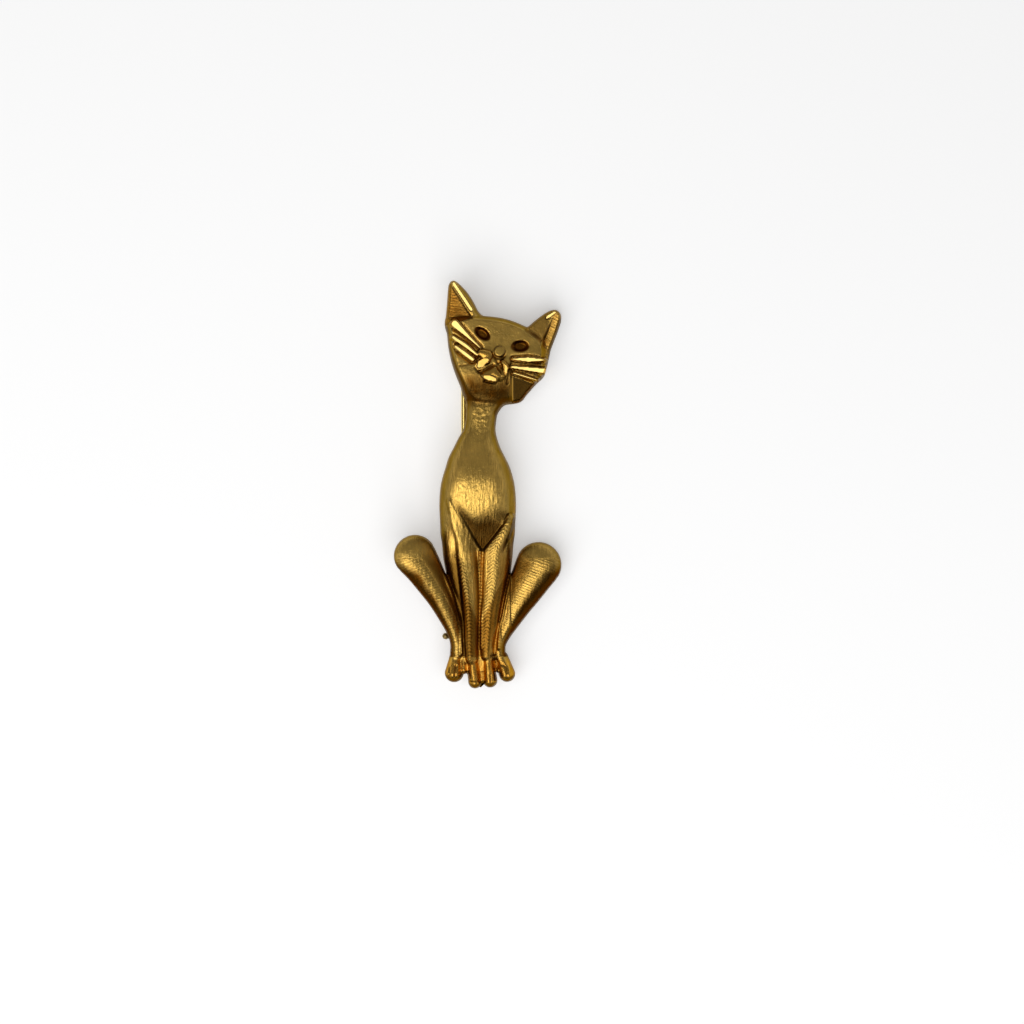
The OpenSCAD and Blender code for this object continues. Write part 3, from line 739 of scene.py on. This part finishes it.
def brush_thighs(form):
    """Lines run across the outer side of the thighs, the inner sides are smooth with orange painted
    reflection and painted shade, and the lower outer edges have painted shade.
    """
    solid = form.inset > 0
    for rows, direction, outer in THIGHS:
        outward = outer * (X - middle_at(rows, LIMB_STEPS))
        on_thigh = (limb_distance(rows) < THIGH_REACH) & (Y < THIGH_TOP) & (Y > THIGH_FOOT)
        inner = on_thigh * fade(-outward, start=0.6, width=0.8) * fade(-Y, start=8.6, width=1.8) * solid
        smooth_strokes(inner, 0.8)
        tint(inner, warm=0.9, stain=0.5, shade=0.2)
        outer_edge = on_thigh * fade(outward, start=0.15, width=0.8) * fade(-Y, start=10.3, width=1.5)
        outer_edge *= solid * (1 - fade(form.inset, start=1.0, width=1.2))
        tint(outer_edge, stain=1, shade=0.8)
        brushed = on_thigh * fade(outward, start=-0.9, width=0.3) * fade(-Y, start=9.3, width=0.6)
        brush_lines(form, brushed, direction, *THIGH_LINES)
        turn_grain(brushed, direction)


def hatch_legs(form):
    """Herringbone strokes along the crests of the forelegs, and the beaded line between them, with painted
    shade over them.
    """
    for path, half, cut, dark in LEG_HATCHES:
        from_middle = np.abs(X - middle_at(path, PATH_STEPS))
        waves = np.sin(2 * math.pi * (Y + HATCH_SLOPE * from_middle) / HATCH_PITCH)
        band = fade(half - path_distance(path), width=0.15)
        form.height += cut * waves * band
        tint(band, stipple=0.3, shade=dark)
        stain[:] += (1 - stain) * cut / HATCH_DEPTH * band * np.clip(-waves, 0, 1)


def finish_flanks(form):
    """The body beside the forelegs is smooth with orange painted reflection, and has painted shade on the
    left.
    """
    from_legs = np.minimum(limb_distance(LEFT_LEG), limb_distance(RIGHT_LEG))
    half = FLANK_HALF + FLANK_TAPER * (Y - FLANK_HALF_AT)
    flanks = (form.inset > 0) * fade(-Y, start=8.0, width=2.5) * fade(from_legs, start=0.75, width=0.3)
    flanks *= (Y > FLANK_FOOT) & (np.abs(X - FLANK_MIDDLE) < half)
    smooth_strokes(flanks, 0.7)
    tint(flanks, warm=0.8)
    tint(flanks * (X < 0), stain=0.3, shade=0.85)


# Pecked specks: seed, radius, height everywhere, and more of it round two ovals
SPECKS_SEED, SPECKS_RADIUS, SPECKS_HEIGHT = 3, 0.10, 0.005
SPECKLED = [(0.022, (0.3, 9.2, 1.6, 1.6)), (0.010, (-0.3, -1.2, 3.2, 1.7))]

# Strokes down the body: seed, radius, stretch and height. Both start this far inside the outline.
STROKES_SEED, STROKES_RADIUS, STROKES_STRETCH, STROKES_HEIGHT = 5, 0.07, 7.0, 0.009
ROUGH_INSET = 0.2


def roughen(form):
    """Brush strokes down the body, and pecked specks that are deepest on the neck and the chest."""
    speck_height = SPECKS_HEIGHT + sum(height * oval(*place) for height, place in SPECKLED)
    specks = random_relief(SPECKS_SEED, SPECKS_RADIUS) * speck_height
    brushed = random_relief(STROKES_SEED, STROKES_RADIUS, STROKES_STRETCH) * STROKES_HEIGHT * strokes
    form.height += (specks + brushed) * (1 - polish) * (form.inset > ROUGH_INSET)


small_features = (add_ridges, cut_chest_recess, cut_ears, cut_jaw, cut_eyes, add_whiskers, add_muzzle,
                  add_nose, cut_toes)
for add_feature in small_features:
    add_feature(form)
smooth_head()
darken_chin()
for finish in (brush_thighs, hatch_legs, finish_flanks):
    finish(form)

polish *= fade(form.inset, start=0.15, width=0.2)
roughen(form)

# Radius of the soft change between finishes
SOFT_CHANGE = 0.25
for channel in (strokes, warm):
    channel[:] = np.clip(blurred(channel, SOFT_CHANGE), 0, 1)

# Narrow and wide hollows: radius that is compared, and depth at which a point counts in full
NARROW, WIDE = (0.7, 0.7), (1.8, 1.6)
HOLLOW_WEIGHT, HOLLOW_MOST, HOLLOW_INSET = 0.7, 0.8, 0.15


def hollowness(form, radius, depth):
    """How far each point lies below its surroundings, from 0 to 1."""
    around = blurred(np.maximum(form.height, EDGE), radius)
    return fade(around - form.height, width=depth)


hollows = np.clip(HOLLOW_WEIGHT * (hollowness(form, *NARROW) + hollowness(form, *WIDE)), 0, HOLLOW_MOST)
# Hollows are coloured orange like the orange tone, as painted reflection between the gold surfaces.
recess = np.maximum(hollows * (form.inset > HOLLOW_INSET), warm)

# Steep sides of metal with less polish than this get dark olive painted shade, less of it in the hollows.
STEEP_POLISH = 0.5
rise_y, rise_x = np.gradient(form.height, CELL)
sides = fade(np.hypot(rise_x - LEAN, rise_y), start=0.4)
steep = sides * (polish < STEEP_POLISH) * (1 - recess)

# Faces that look down get painted shade: slope where that begins and its fade, blur, most polish, painted
# shade, brown painted shade
DOWN_FROM, DOWN_FADE, DOWN_BLUR, DOWN_POLISH = 0.38, 0.6, 0.1, 0.3
DOWN_SHADE, DOWN_BROWN_SHADE, STAIN_BLUR = 0.8, 0.4, 0.05
facing_down = np.clip(blurred((rise_y - DOWN_FROM) / DOWN_FADE, DOWN_BLUR), 0, 1) * (polish < DOWN_POLISH)
shade = np.clip(np.maximum(shade, DOWN_SHADE * facing_down), 0, 1)
stain = np.clip(blurred(np.maximum(stain, DOWN_BROWN_SHADE * facing_down), STAIN_BLUR), 0, 1)

# The casting's side below its widest line: height above the back, and distance drawn in
SIDE = [(0.55, 0.04), (0.25, 0.11), (0.07, 0.20), (0.0, 0.28)]

# Points of the grid this far inside the outline are kept. The rim is moved onto the outline along the
# outline's gradient, whose square counts as this at least.
KEPT_INSET, LEAST_SQUARE = 0.4 * CELL, 0.25


def kept_cells(form):
    """Cells of the grid inside the outline, with no two that meet only at a corner."""
    solid = form.inset > KEPT_INSET
    cells = solid[:-1, :-1] & solid[1:, :-1] & solid[:-1, 1:] & solid[1:, 1:]
    while True:
        a, b, c, d = cells[:-1, :-1], cells[:-1, 1:], cells[1:, :-1], cells[1:, 1:]
        falling = a & d & ~b & ~c
        rising = b & c & ~a & ~d
        if not (falling.any() or rising.any()):
            return cells
        a[falling] = False
        b[rising] = False


def relief_mesh(form):
    """The casting as one closed mesh: the relief, its side and its flat back."""
    cells = kept_cells(form)
    row, column = np.nonzero(cells)
    corners = [(0, 0), (0, 1), (1, 1), (1, 0)]
    used = np.zeros(X.shape, bool)
    for down, right in corners:
        used[row + down, column + right] = True
    index = np.full(X.shape, -1)
    index[used] = np.arange(used.sum())
    quads = np.stack([index[row + down, column + right] for down, right in corners], axis=1)

    directed = {(a, b) for k in range(4)
                for a, b in zip(quads[:, k].tolist(), quads[:, (k + 1) % 4].tolist())}
    follows = {a: b for a, b in directed if (b, a) not in directed}
    rim = np.array(sorted(follows))
    place = {vertex: k for k, vertex in enumerate(rim)}

    slope_y, slope_x = np.gradient(form.inset, CELL)
    x, y, h = X[used].copy(), Y[used].copy(), form.height[used].copy()
    sx, sy, inset = slope_x[used][rim], slope_y[used][rim], form.inset[used][rim]
    squared = np.maximum(sx * sx + sy * sy, LEAST_SQUARE)
    x[rim] -= inset * sx / squared
    y[rim] -= inset * sy / squared
    h[rim] = EDGE
    out_x, out_y = -sx / np.sqrt(squared), -sy / np.sqrt(squared)

    count = len(x)
    faces = quads.tolist()
    rings = [rim]
    all_x, all_y, all_h = [x], [y], [h]
    for height, drawn in SIDE:
        all_x.append(x[rim] - drawn * out_x)
        all_y.append(y[rim] - drawn * out_y)
        all_h.append(np.full(len(rim), height))
        rings.append(count + np.arange(len(rim)))
        count += len(rim)
    for upper, lower in zip(rings, rings[1:]):
        for start, end in follows.items():
            a, b = place[start], place[end]
            faces.append([int(upper[b]), int(upper[a]), int(lower[a]), int(lower[b])])
    x, y, h = np.concatenate(all_x), np.concatenate(all_y), np.concatenate(all_h)
    z = back_at(x) + h

    mesh = bpy.data.meshes.new("cat_relief")
    mesh.from_pydata(np.stack([x, y, z], axis=1) * MM, [], faces)
    shaped = bmesh.new()
    shaped.from_mesh(mesh)
    edges = [edge for edge in shaped.edges if edge.is_boundary]
    bmesh.ops.triangle_fill(shaped, use_beauty=True, use_dissolve=False, edges=edges)
    bmesh.ops.recalc_face_normals(shaped, faces=shaped.faces)
    shaped.to_mesh(mesh)
    shaped.free()
    mesh.polygons.foreach_set("use_smooth", [True] * len(mesh.polygons))
    add_attributes(mesh, used, rim)
    return mesh


def add_attributes(mesh, used, rim):
    """Finish, grain, wear and painted light at each point of the mesh, for the material."""
    extra = len(mesh.vertices) - int(used.sum())
    rings = np.tile(rim, extra // len(rim))
    # Painted light here: the orange tone is painted reflection in hollows, the last part of the grain is
    # painted shade, and so are the steep sides and much of the brown.
    channels = {
        "finish": (polish, recess, stipple),
        "grain": (grain[..., 0], grain[..., 1], shade),
        "wear_and_painted_shade": (steep, stain, strokes)}
    for name, columns in channels.items():
        values = np.stack([column[used] for column in columns], axis=1)
        values = np.vstack([values, values[rings]])
        layer = mesh.attributes.new(name, "FLOAT_VECTOR", "POINT")
        layer.data.foreach_set("vector", values.astype(np.float32).ravel())


def link(tree, source, target):
    tree.links.new(source, target)


def math_node(tree, operation, *values):
    """A calculation with sockets or numbers."""
    node = tree.nodes.new("ShaderNodeMath")
    node.operation = operation
    for socket, value in zip(node.inputs, values):
        if isinstance(value, (int, float)):
            socket.default_value = value
        else:
            link(tree, value, socket)
    return node.outputs[0]


def product(tree, first, second):
    return math_node(tree, "MULTIPLY", first, second)


def total(tree, *terms):
    """Sum of the terms."""
    result = terms[0]
    for term in terms[1:]:
        result = math_node(tree, "ADD", result, term)
    return result


def one_minus(tree, value):
    return math_node(tree, "SUBTRACT", 1.0, value)


def noise_node(tree, vector, scale, detail=2.0):
    node = tree.nodes.new("ShaderNodeTexNoise")
    node.inputs["Scale"].default_value = scale
    node.inputs["Detail"].default_value = detail
    link(tree, vector, node.inputs["Vector"])
    return node.outputs["Fac"]


def mix_colours(tree, share, first, second):
    node = tree.nodes.new("ShaderNodeMix")
    node.data_type = "RGBA"
    link(tree, share, node.inputs["Factor"])
    for socket, value in ((node.inputs[6], first), (node.inputs[7], second)):
        if isinstance(value, tuple):
            socket.default_value = (*value, 1.0)
        else:
            link(tree, value, socket)
    return node.outputs[2]


def vector_node(tree, operation, vector):
    """A calculation with a vector, as a node."""
    node = tree.nodes.new("ShaderNodeVectorMath")
    node.operation = operation
    link(tree, vector, node.inputs[0])
    return node


def scaled_vector(tree, vector, factors):
    node = vector_node(tree, "MULTIPLY", vector)
    node.inputs[1].default_value = factors
    return node.outputs[0]


def vector_parts(tree, name):
    """The three channels of a named attribute, and the attribute itself."""
    node = tree.nodes.new("ShaderNodeAttribute")
    node.attribute_name = name
    parts = tree.nodes.new("ShaderNodeSeparateXYZ")
    link(tree, node.outputs["Vector"], parts.inputs[0])
    return (*parts.outputs, node.outputs["Vector"])


def object_place(tree):
    return tree.nodes.new("ShaderNodeTexCoord").outputs["Object"]


def new_metal(name):
    """A metal material, its nodes and its shader."""
    material = bpy.data.materials.new(name)
    material.use_nodes = True
    tree = material.node_tree
    shader = tree.nodes["Principled BSDF"]
    shader.inputs["Metallic"].default_value = 1.0
    return material, tree, shader


# Colours of the casting: brushed, polished, orange painted reflection, brown stain and painted shade, painted
# shade on steep sides, and reflection at the edges
GOLD = (0.84, 0.52, 0.115)
BRIGHT = (0.64, 0.45, 0.14)
ORANGE = (0.58, 0.28, 0.035)
DEEP = (0.19, 0.07, 0.006)
PAINTED_SIDE_SHADE = (0.15, 0.11, 0.045)
EDGE_TINT = (0.50, 0.40, 0.25)

# Brush strokes in the bump: cells to a millimetre along and across the grain, and strength
COARSE_CELLS, COARSE_STRENGTH = (0.35, 5.0, 0.0), 0.7
FINE_CELLS, FINE_STRENGTH = (0.9, 11.0, 0.0), 0.8

# Grit and blotches: cells to a metre. Strength of the grit, and depth of the bump
GRIT_CELLS, BLOTCH_CELLS = 6500.0, 700.0
GRIT_STRENGTH, BUMP_DEPTH = 0.6, 0.07 * MM

# Strength of the painted shade on steep sides and of the other painted shade, and of the blotches in the
# brown and in brightness, each over a base
PAINTED_SIDE_SHADE_SHARE, PAINTED_SHADE_SHARE = 0.75, 0.8
STAIN_BLOTCHES, STAIN_BASE = 1.2, 0.45
LIGHT_BLOTCHES, LIGHT_BASE = 0.7, 0.65

# Roughness of polished metal, and what brushed metal and blotches add to it
POLISHED_ROUGHNESS, BRUSHED_ROUGHNESS, BLOTCH_ROUGHNESS = 0.10, 0.16, 0.08


def casting_gold():
    """Brushed gold plate: strokes along the grain, smooth metal where it is polished, orange painted
    reflection in hollows, and brown stain and painted shade.
    """
    material, tree, shader = new_metal("brushed_gold")
    shader.inputs["Specular Tint"].default_value = (*EDGE_TINT, 1)
    polished, recessed, stippled, _ = vector_parts(tree, "finish")
    _, _, shaded, grained = vector_parts(tree, "grain")
    edge, stained, stroked, _ = vector_parts(tree, "wear_and_painted_shade")
    place = object_place(tree)

    coarse = noise_node(tree, scaled_vector(tree, grained, COARSE_CELLS), 1.0)
    fine = noise_node(tree, scaled_vector(tree, grained, FINE_CELLS), 1.0)
    grit = noise_node(tree, place, GRIT_CELLS)
    blotch = noise_node(tree, place, BLOTCH_CELLS, 3.0)
    lines = total(tree, product(tree, coarse, COARSE_STRENGTH), product(tree, fine, FINE_STRENGTH))
    pecks = product(tree, grit, total(tree, GRIT_STRENGTH, stippled))
    height = total(tree, product(tree, stroked, lines), pecks)
    brushed = one_minus(tree, polished)
    bump = tree.nodes.new("ShaderNodeBump")
    bump.inputs["Strength"].default_value = 1.0
    bump.inputs["Distance"].default_value = BUMP_DEPTH
    link(tree, product(tree, height, brushed), bump.inputs["Height"])
    link(tree, bump.outputs["Normal"], shader.inputs["Normal"])

    colour = mix_colours(tree, polished, GOLD, BRIGHT)
    # Orange painted reflection in hollows, dark olive painted shade on steep sides, and brown that is stain
    # and painted shade
    colour = mix_colours(tree, recessed, colour, ORANGE)
    colour = mix_colours(tree, product(tree, edge, PAINTED_SIDE_SHADE_SHARE), colour, PAINTED_SIDE_SHADE)
    uneven = math_node(tree, "MULTIPLY_ADD", blotch, STAIN_BLOTCHES, STAIN_BASE)
    colour = mix_colours(tree, product(tree, stained, uneven), colour, DEEP)
    # Blotches vary the brightness, and painted shade darkens the colour
    bright = math_node(tree, "MULTIPLY_ADD", blotch, LIGHT_BLOTCHES, LIGHT_BASE)
    bright = product(tree, bright, one_minus(tree, product(tree, shaded, PAINTED_SHADE_SHARE)))
    scaled = vector_node(tree, "SCALE", colour)
    link(tree, bright, scaled.inputs["Scale"])
    link(tree, scaled.outputs[0], shader.inputs["Base Color"])

    roughness = total(tree, product(tree, brushed, BRUSHED_ROUGHNESS),
                      product(tree, blotch, BLOTCH_ROUGHNESS), POLISHED_ROUGHNESS)
    link(tree, roughness, shader.inputs["Roughness"])
    return material


# Metals of the findings, for smooth sheet and wire and for the darker, duller sleeve: name, cells of the
# blotches to a metre, their two colours, roughness, and what blotches add to it
PLATED = ("polished_gold", 1500.0, (0.92, 0.70, 0.24), (0.76, 0.54, 0.15), 0.14, 0.16)
DARK_DULL = ("dark_dull_gold", 1800.0, (0.42, 0.31, 0.12), (0.16, 0.10, 0.03), 0.35, 0.2)


def blotched_metal(name, cells, first, second, roughness, unevenness):
    """Plain metal with faint blotches."""
    material, tree, shader = new_metal(name)
    blotch = noise_node(tree, object_place(tree), cells, 3.0)
    link(tree, mix_colours(tree, blotch, first, second), shader.inputs["Base Color"])
    link(tree, total(tree, product(tree, blotch, unevenness), roughness), shader.inputs["Roughness"])
    return material


def dress():
    """The relief takes the casting's place, and the findings get their metals."""
    casting = bpy.data.objects.new("cat_relief", relief_mesh(form))
    bpy.context.scene.collection.objects.link(casting)
    casting.data.materials.append(casting_gold())
    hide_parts("cat_casting")
    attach(casting, "brooch")
    metal, dull = blotched_metal(*PLATED), blotched_metal(*DARK_DULL)
    for name, node in frame["nodes"].items():
        if name != "cat_casting":
            node.data.materials.clear()
            node.data.materials.append(dull if name == "catch_sleeve" else metal)


FLOOR_SIZE = 3.0
FLOOR_GREY, FLOOR_ROUGHNESS, FLOOR_GLOW = 0.9, 0.9, 0.33

# Softbox: the direction, distance, size and watts of its light
LIGHT_DIRECTION = (-0.15, -0.45, 0.88)
LIGHT_DISTANCE, LIGHT_SIZE, LIGHT_WATTS = 0.50, 0.60, 2.3

# The room's light: places on the unit sphere towards the photo's top, and the strengths there
ROOM_FADE = (("From Min", -0.95), ("From Max", -0.50), ("To Min", 0.02), ("To Max", 0.19))


def studio():
    """Pale floor, one softbox and a dim room."""
    scene = bpy.context.scene
    bpy.ops.mesh.primitive_plane_add(size=FLOOR_SIZE, location=(0, 0, 0))
    floor = bpy.context.object
    floor.name = "floor"
    material = bpy.data.materials.new("pale_floor")
    material.use_nodes = True
    shader = material.node_tree.nodes["Principled BSDF"]
    shader.inputs["Base Color"].default_value = (FLOOR_GREY, FLOOR_GREY, FLOOR_GREY, 1)
    shader.inputs["Roughness"].default_value = FLOOR_ROUGHNESS
    shader.inputs["Emission Color"].default_value = (1, 1, 1, 1)
    shader.inputs["Emission Strength"].default_value = FLOOR_GLOW
    floor.data.materials.append(material)

    scene.world = studio_world()
    scene.view_settings.view_transform = "Standard"

    light = bpy.data.lights.new("softbox", "AREA")
    light.size = LIGHT_SIZE
    light.energy = LIGHT_WATTS
    lamp = bpy.data.objects.new("softbox", light)
    toward = Vector(LIGHT_DIRECTION).normalized()
    lamp.location = toward * LIGHT_DISTANCE
    lamp.rotation_euler = (-toward).to_track_quat("-Z", "Y").to_euler()
    scene.collection.objects.link(lamp)


def studio_world():
    """An even dim room, darker low down in front."""
    world = bpy.data.worlds.new("studio")
    world.use_nodes = True
    tree = world.node_tree
    place = tree.nodes.new("ShaderNodeTexCoord")
    parts = tree.nodes.new("ShaderNodeSeparateXYZ")
    link(tree, place.outputs["Generated"], parts.inputs[0])
    tree.nodes["Background"].inputs["Color"].default_value = (1, 1, 1, 1)
    room_light = tree.nodes.new("ShaderNodeMapRange")
    for name, value in ROOM_FADE:
        room_light.inputs[name].default_value = value
    link(tree, parts.outputs[1], room_light.inputs["Value"])
    link(tree, room_light.outputs["Result"], tree.nodes["Background"].inputs["Strength"])
    return world


# The photo's frame: its middle, and its width at the focus height
VIEW_MIDDLE = (4.43 * MM, -3.57 * MM)
VIEW_WIDTH = 135.5 * MM
CAMERA_HEIGHT, FOCUS_HEIGHT = 0.5, 0.003
SENSOR_WIDTH, NEAREST = 36.0, 0.01


def camera():
    """The camera looks straight down from the middle of the photo's frame."""
    data = bpy.data.cameras.new("camera")
    data.sensor_width = SENSOR_WIDTH
    data.lens = data.sensor_width * (CAMERA_HEIGHT - FOCUS_HEIGHT) / VIEW_WIDTH
    data.clip_start = NEAREST
    item = bpy.data.objects.new("camera", data)
    item.location = (*VIEW_MIDDLE, CAMERA_HEIGHT)
    bpy.context.scene.collection.objects.link(item)
    bpy.context.scene.camera = item


dress()
studio()
camera()
